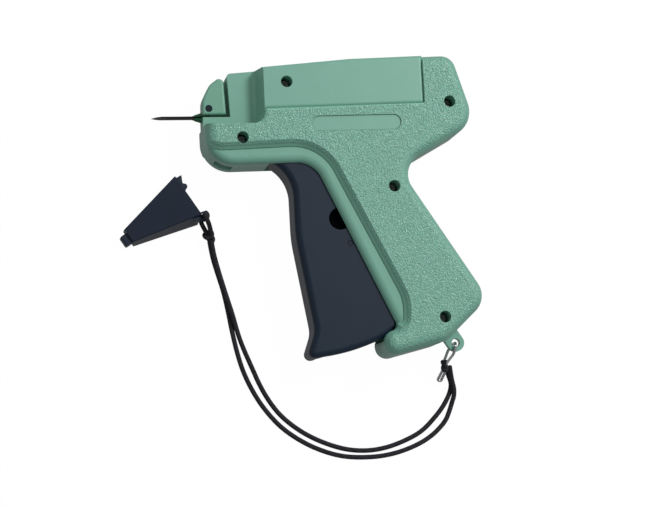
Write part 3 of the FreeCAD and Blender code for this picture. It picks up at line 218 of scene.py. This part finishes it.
class Sheet:
    """A tree of nodes, added and joined with short calls."""

    def __init__(self, owner: bpy.types.Material | bpy.types.World) -> None:
        """Start with the empty tree of a material or a world."""
        owner.use_nodes = True
        self.tree = owner.node_tree
        self.tree.nodes.clear()

    def add(self, kind: str, **sockets: object) -> bpy.types.Node:
        """Add a node and set or join its inputs.

        Args:
            kind: The node's type name.
            **sockets: Values or output sockets, by input name with underscores for blanks.

        Returns:
            The new node.
        """
        node = self.tree.nodes.new(kind)
        for name, value in sockets.items():
            self.put(node.inputs[name.replace("_", " ")], value)
        return node

    def put(self, socket: bpy.types.NodeSocket, value: object) -> None:
        """Join an output to an input, or set the input's value."""
        if isinstance(value, bpy.types.NodeSocket):
            self.tree.links.new(value, socket)
        else:
            socket.default_value = value

    def math(self, operation: str, *values: object) -> bpy.types.NodeSocket:
        """Add a Math node and return its output."""
        node = self.tree.nodes.new("ShaderNodeMath")
        node.operation = operation
        for socket, value in zip(node.inputs, values):
            self.put(socket, value)
        return node.outputs[0]

    def ramp(self, value: bpy.types.NodeSocket, low: float, high: float) -> bpy.types.NodeSocket:
        """Return a smooth step of a value from 0 at the low end to 1 at the high end."""
        node = self.tree.nodes.new("ShaderNodeMapRange")
        node.interpolation_type = "SMOOTHSTEP"
        self.put(node.inputs["Value"], value)
        node.inputs["From Min"].default_value = low
        node.inputs["From Max"].default_value = high
        return node.outputs["Result"]

    def noise(self, place: bpy.types.NodeSocket, size: float, detail: float = 2.0) -> bpy.types.NodeSocket:
        """Return a noise pattern whose blobs are about a size in millimetres."""
        return self.add("ShaderNodeTexNoise", Vector=place, Scale=1 / (size * MM), Detail=detail).outputs[0]

    def blend(self, share: object, first: object, second: object) -> bpy.types.NodeSocket:
        """Return a mix of two colours."""
        node = self.tree.nodes.new("ShaderNodeMix")
        node.data_type = "RGBA"
        for socket, value in zip((node.inputs[0], node.inputs[6], node.inputs[7]), (share, first, second)):
            self.put(socket, value)
        return node.outputs[2]


class NodeSheet(Sheet):
    """The nodes of a solid material, round one main shader."""

    def __init__(self, name: str) -> None:
        """Start an empty material with its output and its main shader."""
        self.material = bpy.data.materials.new(name)
        super().__init__(self.material)
        self.shader = self.add("ShaderNodeBsdfPrincipled")
        self.add("ShaderNodeOutputMaterial", Surface=self.shader.outputs["BSDF"])


class Painter:
    """Makes the material of each finish once."""

    def __init__(self, area: GrainArea, look: GrainLook) -> None:
        """Keep where the casing is grained and how the grain looks."""
        self.area = area
        self.look = look
        self.made: dict[str, bpy.types.Material] = {}

    def paint(self, finish: Finish) -> bpy.types.Material:
        """Return the material of a finish.

        Args:
            finish: The finish to make.

        Returns:
            Its material, made at the first call.
        """
        if finish.name not in self.made:
            sheet = NodeSheet(finish.name)
            sheet.shader.inputs["Metallic"].default_value = finish.metallic
            sheet.shader.inputs["Specular IOR Level"].default_value = finish.specular
            steps = {
                Surface.MOULDED: self.moulded,
                Surface.GRAINED: self.grained,
                Surface.GROUND: self.ground,
                Surface.BRAIDED: self.braided,
                Surface.PLATED: self.plated,
            }
            steps[finish.surface](sheet, finish)
            self.made[finish.name] = sheet.material
        return self.made[finish.name]

    def mottled(self, sheet: NodeSheet, finish: Finish, place: bpy.types.NodeSocket) -> bpy.types.NodeSocket:
        """Return the finish's colour with a slight, slow variation."""
        dark = toned(finish.colour, 1 - finish.mottle)
        light = toned(finish.colour, 1 + finish.mottle)
        return sheet.blend(sheet.noise(place, MOTTLE_SIZE, 3.0), dark, light)

    def bumped(self, sheet: NodeSheet, height: bpy.types.NodeSocket, finish: Finish) -> None:
        """Give the shader the finish's relief, and soft edges where the finish has them."""
        bump = sheet.add("ShaderNodeBump", Strength=1.0, Distance=finish.relief * MM, Height=height)
        if finish.edge:
            soft = sheet.add("ShaderNodeBevel", Radius=finish.edge * MM)
            soft.samples = EDGE_SAMPLES
            sheet.put(bump.inputs["Normal"], soft.outputs["Normal"])
        sheet.put(sheet.shader.inputs["Normal"], bump.outputs["Normal"])

    def polish(self, sheet: NodeSheet, pattern: bpy.types.NodeSocket, swing: float, start: float) -> None:
        """Let the roughness follow a pattern of 0 to 1, from a start and over a swing."""
        sheet.put(sheet.shader.inputs["Roughness"], sheet.math("MULTIPLY_ADD", pattern, swing, start))

    def moulded(self, sheet: NodeSheet, finish: Finish) -> None:
        """Dress smooth moulded plastic: slow colour and gloss variation and a trace of orange peel."""
        place = sheet.add("ShaderNodeTexCoord").outputs["Object"]
        sheet.put(sheet.shader.inputs["Base Color"], self.mottled(sheet, finish, place))
        self.polish(sheet, sheet.noise(place, GLOSS_SIZE), GLOSS_SWING, finish.roughness - GLOSS_SWING / 2)
        self.bumped(sheet, sheet.noise(place, finish.pitch), finish)

    def grained(self, sheet: NodeSheet, finish: Finish) -> None:
        """Dress the casing: leather grain on its broad faces with painted shade in its pits and painted glints
        on its peaks, painted highlight lines along the label's and the thin nose's edges, smooth rim and label
        area, and a parting line.
        """
        look = self.look
        place = sheet.add("ShaderNodeTexCoord").outputs["Object"]
        split = sheet.add("ShaderNodeSeparateXYZ", Vector=place)
        x, y, z = (split.outputs[i] for i in range(3))
        height = sheet.math("ABSOLUTE", sheet.math("SUBTRACT", z, MID * MM))
        high = sheet.ramp(height, self.area.start_height * MM, self.area.full_height * MM)
        line = sheet.math("MULTIPLY_ADD", x, -self.area.label_lean, y)
        low_edge = (self.area.label_low + DRAWING_SHIFT.y) * MM
        rear_edge = (self.area.label_rear + DRAWING_SHIFT.x) * MM
        edge = self.area.edge * MM
        below = sheet.math("SUBTRACT", 1.0, sheet.ramp(line, low_edge, low_edge + edge))
        behind = sheet.ramp(x, rear_edge, rear_edge + edge)
        mask = sheet.math("MULTIPLY", high, sheet.math("MAXIMUM", below, behind))
        mask = sheet.math("MULTIPLY", mask, self.beside_plate(sheet, x, y))
        stirred = self.stirred(sheet, place, finish)
        cells = sheet.add("ShaderNodeTexVoronoi", Vector=stirred, Scale=1 / (finish.pitch * MM))
        cells.feature = "SMOOTH_F1"
        cells.inputs["Smoothness"].default_value = look.cell_smoothness
        pebbles = sheet.math("SUBTRACT", 1.0, cells.outputs["Distance"])
        bumps = sheet.noise(place, finish.pitch * look.bump_pitch)
        grain = sheet.math("MULTIPLY_ADD", bumps, look.bump_share, pebbles)
        peel = sheet.noise(place, look.peel_size)
        relief = sheet.math("MULTIPLY_ADD", peel, look.peel_share, sheet.math("MULTIPLY", grain, mask))
        self.bumped(sheet, relief, finish)
        colour = self.mottled(sheet, finish, place)
        # painted shade in the grain's pits, darker towards the cell borders
        pit = sheet.math("MULTIPLY", sheet.ramp(cells.outputs["Distance"], *look.pit_shade_range), mask)
        painted_pit_shade = sheet.math("MULTIPLY", pit, look.pit_shade_share)
        colour = sheet.blend(painted_pit_shade, colour, toned(finish.colour, look.pit_shade_tone))
        # painted glints: pale specks on the grain, in place of the key lamp's highlights
        fine = sheet.noise(place, finish.pitch * look.glint_pitch, 1.0)
        glint_spots = sheet.math("MULTIPLY", sheet.ramp(fine, *look.glint_range), mask)
        painted_glints = sheet.math("MULTIPLY", glint_spots, look.glint_share)
        # painted highlights: the painted glints and the painted highlight lines along the edges, in one paler
        # tone
        painted_highlights = sheet.math("MAXIMUM", painted_glints, self.painted_edge_highlights(sheet, x, y, line, high))
        colour = sheet.blend(painted_highlights, colour, toned(finish.colour, look.highlight_tone))
        seam = sheet.math("SUBTRACT", 1.0, sheet.ramp(height, *(edge * MM for edge in look.seam_range)))
        colour = sheet.blend(seam, colour, toned(finish.colour, look.seam_tone))
        sheet.put(sheet.shader.inputs["Base Color"], colour)
        self.polish(sheet, mask, -look.gloss_gain, finish.roughness)

    def painted_edge_highlights(self, sheet: NodeSheet, x: bpy.types.NodeSocket, y: bpy.types.NodeSocket,
               line: bpy.types.NodeSocket, high: bpy.types.NodeSocket) -> bpy.types.NodeSocket:
        """Return where painted highlight lines lie along the face's edges beside the label area and the thin
        nose.
        """
        width = self.area.edge * MM
        shares = []
        spots = ((line, self.area.label_low, self.area.ledge_ends[1], self.area.label_rear),
                 (y, self.area.ledge, *self.area.ledge_ends))
        for way, edge, first, last in spots:
            top = (edge + DRAWING_SHIFT.y) * MM
            rise = (top - share * width for share in self.look.edge_highlight_rise)
            strip = sheet.math("MULTIPLY", sheet.ramp(way, *rise),
                               sheet.math("SUBTRACT", 1.0, sheet.ramp(way, top, top + width)))
            low, far = ((end + DRAWING_SHIFT.x) * MM for end in (first, last))
            fade = self.look.edge_highlight_end * width
            ends = sheet.math("MULTIPLY", sheet.ramp(x, low, low + fade),
                              sheet.math("SUBTRACT", 1.0, sheet.ramp(x, far - fade, far)))
            shares.append(sheet.math("MULTIPLY", strip, ends))
        most = sheet.math("MULTIPLY", high, self.look.edge_highlight_share)
        return sheet.math("MULTIPLY", sheet.math("MAXIMUM", *shares), most)

    def beside_plate(self, sheet: NodeSheet, x: bpy.types.NodeSocket,
                     y: bpy.types.NodeSocket) -> bpy.types.NodeSocket:
        """Return 0 on the pill-shaped name plate and 1 outside it."""
        middle_x = (self.area.plate_centre[0] + DRAWING_SHIFT.x) * MM
        middle_y = (self.area.plate_centre[1] + DRAWING_SHIFT.y) * MM
        along = sheet.math("SUBTRACT", x, middle_x)
        across = sheet.math("MULTIPLY_ADD", along, -self.area.plate_lean, sheet.math("SUBTRACT", y, middle_y))
        past = sheet.math("SUBTRACT", sheet.math("ABSOLUTE", along), self.area.plate_straight * MM)
        past = sheet.math("MAXIMUM", past, 0.0)
        squares = (sheet.math("POWER", way, 2.0) for way in (past, across))
        reach = sheet.math("SQRT", sheet.math("ADD", *squares))
        return sheet.ramp(reach, *((self.area.plate_radius + rim) * MM for rim in self.area.plate_rim))

    def stirred(self, sheet: NodeSheet, place: bpy.types.NodeSocket, finish: Finish) -> bpy.types.NodeSocket:
        """Return the place moved about a little, so that grain cells aren't regular."""
        scale = 1 / (self.look.stir_pitch * finish.pitch * MM)
        stir = sheet.add("ShaderNodeTexNoise", Vector=place, Scale=scale, Detail=1.0)
        scaled = sheet.add("ShaderNodeVectorMath")
        scaled.operation = "MULTIPLY_ADD"
        sheet.put(scaled.inputs[0], stir.outputs[1])
        scaled.inputs[1].default_value = (self.look.stir_reach * finish.pitch * MM,) * 3
        sheet.put(scaled.inputs[2], place)
        return scaled.outputs[0]

    def ground(self, sheet: NodeSheet, finish: Finish) -> None:
        """Dress ground or drawn steel: fine lines along X and a changing gloss."""
        place = sheet.add("ShaderNodeTexCoord").outputs["Object"]
        stretched = sheet.add("ShaderNodeMapping", Vector=place, Scale=(GROUND_STRETCH, 1.0, 1.0)).outputs[0]
        lines = sheet.noise(stretched, finish.pitch, 3.0)
        colour = sheet.blend(lines, toned(finish.colour, GROUND_TONE), linear(finish.colour))
        sheet.put(sheet.shader.inputs["Base Color"], colour)
        self.polish(sheet, lines, GROUND_SWING, finish.roughness - GROUND_SWING / 2)
        self.bumped(sheet, lines, finish)

    def plated(self, sheet: NodeSheet, finish: Finish) -> None:
        """Dress bright plated wire with faint handling marks."""
        place = sheet.add("ShaderNodeTexCoord").outputs["Object"]
        sheet.put(sheet.shader.inputs["Base Color"], self.mottled(sheet, finish, place))
        marks = sheet.noise(place, MARK_SIZE, 4.0)
        self.polish(sheet, marks, MARK_SWING, finish.roughness - MARK_SWING / 4)
        self.bumped(sheet, marks, finish)

    def braided(self, sheet: NodeSheet, finish: Finish) -> None:
        """Dress braided cord: fine strands that cross both ways, and a little fuzz."""
        place = sheet.add("ShaderNodeTexCoord").outputs["Object"]
        strands = []
        for lean in (STRAND_LEAN, -STRAND_LEAN):
            turned = sheet.add("ShaderNodeMapping", Vector=place, Rotation=(lean, lean, STRAND_TWIST * lean))
            wave = sheet.add("ShaderNodeTexWave", Vector=turned.outputs[0],
                             Scale=1 / (STRAND_PITCHES * finish.pitch * MM),
                             Distortion=STRAND_STIR, Detail=1.0)
            strands.append(wave.outputs[1])
        weave = sheet.math("MAXIMUM", *strands)
        dark, light = (toned(finish.colour, tone) for tone in STRAND_TONES)
        sheet.put(sheet.shader.inputs["Base Color"], sheet.blend(weave, dark, light))
        sheet.shader.inputs["Roughness"].default_value = finish.roughness
        fuzz = sheet.noise(place, FUZZ_SIZE, 3.0)
        self.bumped(sheet, sheet.math("MULTIPLY_ADD", fuzz, FUZZ_SHARE, weave), finish)


# ---------------------------------------------------------------- the tool's pieces
@dataclass
class CadDress:
    """The modelled pieces that keep their own shape, each with its finish."""

    frame: dict
    painter: Painter
    finishes: dict[str, Finish] = field(default_factory=lambda: {
        "left_casing": CASING,
        "right_casing": CASING,
        "nose_block": NOSE,
        "casing_screws": SCREW,
        "needle": NEEDLE,
        "needle_hub": HUB,
        "needle_lock_lever": LEVER,
        "cutter_blade": BLADE,
        "comb_guide": GUIDE,
        "feed_wheel": WHEEL,
        "feed_wheel_axle": DRAWN,
        "feed_pawl": DRAWN,
        "trigger": TRIGGER,
        "trigger_spring": DRAWN,
        "drive_gear": GEAR,
        "drive_gear_axle": DRAWN,
        "slide": SLIDE,
        "push_rod": DRAWN,
        "wire_clip": CHROME,
        "needle_cap": CAP,
        "clip_knot": CORD,
        "cap_knot": CORD,
        "cap_loop": CORD,
        "lanyard_cord_outer": CORD,
        "lanyard_cord_inner": CORD,
    })

    def dress(self) -> int:
        """Give every modelled piece its finish and return how many there are."""
        for name, finish in self.finishes.items():
            piece = self.frame["nodes"][name]
            material = self.painter.paint(finish)
            if not piece.material_slots:
                piece.data.materials.append(material)
            for slot in piece.material_slots:
                slot.material = material
        return len(self.finishes)


@dataclass
class Lanyard:
    """The black cord, doubled from the wire clip to the needle cap, with a knot at each end."""

    painter: Painter
    cord_radius: float = 1.1
    loop_radius: float = 1.1
    knot_strand: float = 1.0
    knot_size: float = 0.68
    knot_points: int = 24
    line_steps: int = 8
    ring_steps: int = 5
    clip_knot: Point = (58.6, -72.5, 9.2)
    clip_knot_turn: float = 0.9
    clip_knot_shape: Point = (0.8, 1.15, 1.0)
    cap_knot: Point = (-47.3, -9.3, 3.1)
    cap_knot_turn: float = 0.5
    cap_knot_shape: Point = (1.05, 1.35, 1.0)
    outer_route: tuple[Point, ...] = (
        (60.9, -73.1, 9.3), (61.9, -76.5, 6.7), (63.0, -79.9, 4.4), (63.9, -82.7, 3.5), (64.0, -86.1, 2.5),
        (63.1, -89.2, 1.15), (61.6, -93.3, 1.15), (59.2, -98.4, 1.15), (51.1, -105.6, 1.15),
        (39.9, -110.4, 1.15), (29.0, -112.7, 1.15), (18.3, -112.9, 1.15), (9.4, -111.9, 1.15),
        (0.9, -109.2, 1.15), (-7.6, -105.1, 1.15), (-16.9, -98.6, 1.15), (-24.0, -90.6, 1.15),
        (-29.4, -82.2, 1.15), (-33.9, -72.3, 1.15), (-36.4, -63.2, 1.15), (-38.3, -53.5, 1.15),
        (-39.7, -44.5, 1.15), (-41.4, -35.2, 1.15), (-43.9, -26.5, 1.15), (-46.2, -18.0, 1.15),
        (-47.1, -11.5, 1.9))
    inner_route: tuple[Point, ...] = (
        (60.1, -73.9, 6.2), (61.5, -76.4, 3.0), (63.1, -79.8, 1.5), (62.9, -82.9, 1.15), (61.5, -86.4, 1.15),
        (59.0, -90.5, 1.15), (55.7, -94.6, 1.15), (48.4, -101.9, 1.15), (40.1, -105.9, 1.15),
        (31.0, -108.9, 1.15), (22.0, -110.0, 1.15), (13.0, -109.2, 1.15), (5.0, -106.8, 1.15),
        (-3.2, -103.2, 1.15), (-10.6, -98.6, 1.15), (-17.6, -92.6, 1.15), (-22.6, -85.8, 1.15),
        (-26.6, -78.4, 1.15), (-30.2, -69.3, 1.15), (-33.6, -60.9, 1.15), (-36.1, -53.6, 2.1),
        (-38.1, -45.8, 3.5), (-40.4, -37.9, 3.5), (-42.3, -31.1, 3.5), (-44.6, -22.4, 3.5),
        (-46.1, -15.6, 3.8), (-46.6, -11.5, 4.7))
    loop_route: tuple[Point, ...] = (
        (-48.6, -8.0, 4.2), (-50.3, -5.2, 5.2), (-51.6, -2.2, 6.0), (-50.4, -0.9, 6.2), (-50.2, -0.83, 9.4),
        (-50.0, -0.7, 12.6), (-48.9, -3.2, 11.4), (-47.4, -5.6, 7.4), (-46.6, -8.0, 4.6))

    def curve(self, name: str, points: Iterable[Vector], radius: float,
              closed: bool = False) -> bpy.types.Object:
        """Return a round cord along a smooth line.

        Args:
            name: The piece's name.
            points: The line's control points in the row frame, in metres.
            radius: The cord's radius in millimetres.
            closed: Whether the line is a ring.

        Returns:
            The curve's object.
        """
        data = bpy.data.curves.new(name, "CURVE")
        data.dimensions = "3D"
        data.resolution_u = self.line_steps
        data.bevel_depth = radius * MM
        data.bevel_resolution = self.ring_steps
        data.use_fill_caps = True
        spline = data.splines.new("NURBS")
        spots = list(points)
        spline.points.add(len(spots) - 1)
        for target, spot in zip(spline.points, spots):
            target.co = (*spot, 1.0)
        spline.order_u = 3
        spline.use_endpoint_u = not closed
        spline.use_cyclic_u = closed
        piece = bpy.data.objects.new(name, data)
        bpy.context.scene.collection.objects.link(piece)
        piece.data.materials.append(self.painter.paint(CORD))
        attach(piece, "casing")
        return piece

    def knot(self, name: str, centre: Point, turn: Quaternion, shape: Point) -> bpy.types.Object:
        """Return an overhand knot of the cord, pulled tight about a point.

        Args:
            name: The piece's name.
            centre: The knot's middle, in the drawing's millimetres.
            turn: How the knot is turned.
            shape: How much it is stretched along each axis before it is turned.

        Returns:
            The knot's object.
        """
        spots = []
        for i in range(self.knot_points):
            t = 2 * math.pi * i / self.knot_points
            spot = Vector((math.sin(t) + 2 * math.sin(2 * t),
                           math.cos(t) - 2 * math.cos(2 * t),
                           -math.sin(3 * t)))
            spot = Vector(a * b * self.knot_size for a, b in zip(spot, shape))
            spots.append(row(Vector(centre) + turn @ spot))
        return self.curve(name, spots, self.knot_strand, closed=True)

    def build(self) -> list[bpy.types.Object]:
        turn = Quaternion((0.0, 1.0, 0.0), self.clip_knot_turn)
        clip = self.knot("clip_knot_tied", self.clip_knot, turn, self.clip_knot_shape)
        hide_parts("clip_knot")
        turn = Quaternion((0.0, 0.0, 1.0), self.cap_knot_turn)
        cap = self.knot("cap_knot_tied", self.cap_knot, turn, self.cap_knot_shape)
        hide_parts("cap_knot")
        loop = self.curve("cap_loop_tied", [row(point) for point in self.loop_route], self.loop_radius)
        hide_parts("cap_loop")
        pieces = [clip, cap, loop]
        for side, route, length in (("outer", self.outer_route, 0.2041), ("inner", self.inner_route, 0.194)):
            spots = [row(point) for point in route]
            cord = self.curve(f"lanyard_{side}", spots, self.cord_radius)
            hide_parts(f"lanyard_cord_{side}")
            pieces.append(cord)
        return pieces


# ---------------------------------------------------------------- stage
@dataclass(frozen=True)
class Camera:
    """The camera, above the tool and in front of it to the lower left."""

    place: Point = (-155.087, -138.891, 881.0)
    aim: Point = (14.155, -14.956, 15.0)
    roll: float = 51.785
    lens: float = 105.99
    sensor: float = 36.0
    near: float = 10.0

    def build(self) -> bpy.types.Object:
        """Make the camera, in the row frame."""
        data = bpy.data.cameras.new("camera")
        data.lens = self.lens
        data.sensor_width = self.sensor
        data.clip_start = self.near * MM
        camera = bpy.data.objects.new("camera", data)
        bpy.context.scene.collection.objects.link(camera)
        place = Vector(self.place) * MM
        sight = Vector(self.aim) * MM - place
        camera.rotation_mode = "QUATERNION"
        rolled = Quaternion((0, 0, 1), math.radians(self.roll))
        camera.rotation_quaternion = sight.to_track_quat("-Z", "Y") @ rolled
        camera.location = place
        bpy.context.scene.camera = camera
        return camera


@dataclass(frozen=True)
class Softbox:
    """One square area lamp: where it stands, in millimetres, its size and its power."""

    name: str
    place: Point
    size: float
    power: float


@dataclass
class Studio:
    """The pale floor, the soft lamps and the world."""

    lamps: tuple[Softbox, ...] = (
        Softbox("key", (560.0, 420.0, 840.0), 260.0, 6.0),
        Softbox("edge", (700.0, 900.0, 420.0), 300.0, 1.2),
    )
    sky: float = 0.60
    seen_sky: float = 0.45
    side_loss: float = 0.45
    floor_size: float = 6000.0
    floor_tone: float = 0.16
    floor_shade_share: float = 0.12
    floor_mirror: float = 0.35
    floor_glow: float = 1.12
    lit_side: Point = (0.3, 0.95, 0.0)

    def build(self) -> None:
        """Make the floor, the lamps and the world."""
        self.floor()
        for lamp in self.lamps:
            self.lamp(lamp)
        self.world()
        bpy.context.scene.view_settings.view_transform = "Standard"

    def lamp(self, box: Softbox) -> None:
        """Make one softbox that faces the tool."""
        data = bpy.data.lights.new(box.name, "AREA")
        data.size = box.size * MM
        data.energy = box.power
        lamp = bpy.data.objects.new(box.name, data)
        lamp.location = Vector(box.place) * MM
        lamp.rotation_mode = "QUATERNION"
        lamp.rotation_quaternion = (-lamp.location).to_track_quat("-Z", "Y")
        bpy.context.scene.collection.objects.link(lamp)

    def floor(self) -> None:
        """Make the floor: white to the camera, grey in reflections, with a faint shadow of the tool."""
        half = self.floor_size * MM / 2
        corners = [(-half, -half, 0), (half, -half, 0), (half, half, 0), (-half, half, 0)]
        mesh = bpy.data.meshes.new("floor")
        mesh.from_pydata(corners, [], [(0, 1, 2, 3)])
        floor = bpy.data.objects.new("floor", mesh)
        bpy.context.scene.collection.objects.link(floor)
        material = bpy.data.materials.new("floor white")
        sheet = Sheet(material)
        paint = sheet.add("ShaderNodeBsdfDiffuse", Color=(self.floor_tone,) * 3 + (1,))
        glow = sheet.add("ShaderNodeEmission", Strength=self.floor_glow)
        path = sheet.add("ShaderNodeLightPath")
        mirrored = sheet.math("MULTIPLY", path.outputs["Is Glossy Ray"], self.floor_mirror)
        seen = sheet.math("MAXIMUM", path.outputs["Is Camera Ray"], mirrored)
        mix = sheet.add("ShaderNodeMixShader")
        sheet.put(mix.inputs[0], sheet.math("MULTIPLY", seen, 1 - self.floor_shade_share))
        sheet.put(mix.inputs[1], paint.outputs[0])
        sheet.put(mix.inputs[2], glow.outputs[0])
        sheet.add("ShaderNodeOutputMaterial", Surface=mix.outputs[0])
        mesh.materials.append(material)

    def side_share(self, sheet: Sheet, seen: bpy.types.NodeSocket) -> bpy.types.NodeSocket:
        """Return the sky's share by direction: less from the handle's side, but whole to the camera."""
        way = sheet.add("ShaderNodeVectorMath")
        way.operation = "DOT_PRODUCT"
        sheet.put(way.inputs[0], sheet.add("ShaderNodeTexCoord").outputs["Generated"])
        sheet.put(way.inputs[1], self.lit_side)
        below = sheet.math("MINIMUM", way.outputs["Value"], 0.0)
        share = sheet.math("ADD", sheet.math("MULTIPLY", below, self.side_loss), 1.0)
        return sheet.math("MAXIMUM", share, seen)

    def world(self) -> None:
        """Make the world: white to the camera, dimmer in reflections and as a soft fill light on the tool."""
        world = bpy.data.worlds.new("studio")
        bpy.context.scene.world = world
        sheet = Sheet(world)
        path = sheet.add("ShaderNodeLightPath")
        seen = path.outputs["Is Camera Ray"]
        glossy = sheet.math("MULTIPLY", path.outputs["Is Glossy Ray"], self.seen_sky - self.sky)
        direct = sheet.math("MULTIPLY", seen, 1 - self.sky)
        level = sheet.math("ADD", sheet.math("ADD", glossy, direct), self.sky)
        strength = sheet.math("MULTIPLY", level, self.side_share(sheet, seen))
        sky = sheet.add("ShaderNodeBackground", Strength=strength)
        sheet.add("ShaderNodeOutputWorld", Surface=sky.outputs[0])


def main() -> None:
    """Build the scene in order."""
    logging.basicConfig(level=logging.INFO, format="%(name)s: %(message)s")
    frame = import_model()
    painter = Painter(GrainArea(), GrainLook())
    Camera().build()
    LOG.info("camera set")
    for piece in Lanyard(painter).build():
        LOG.info("made %s", piece.name)
    LOG.info("dressed %d modelled pieces", CadDress(frame, painter).dress())
    Studio().build()


if __name__ == "__main__":
    main()
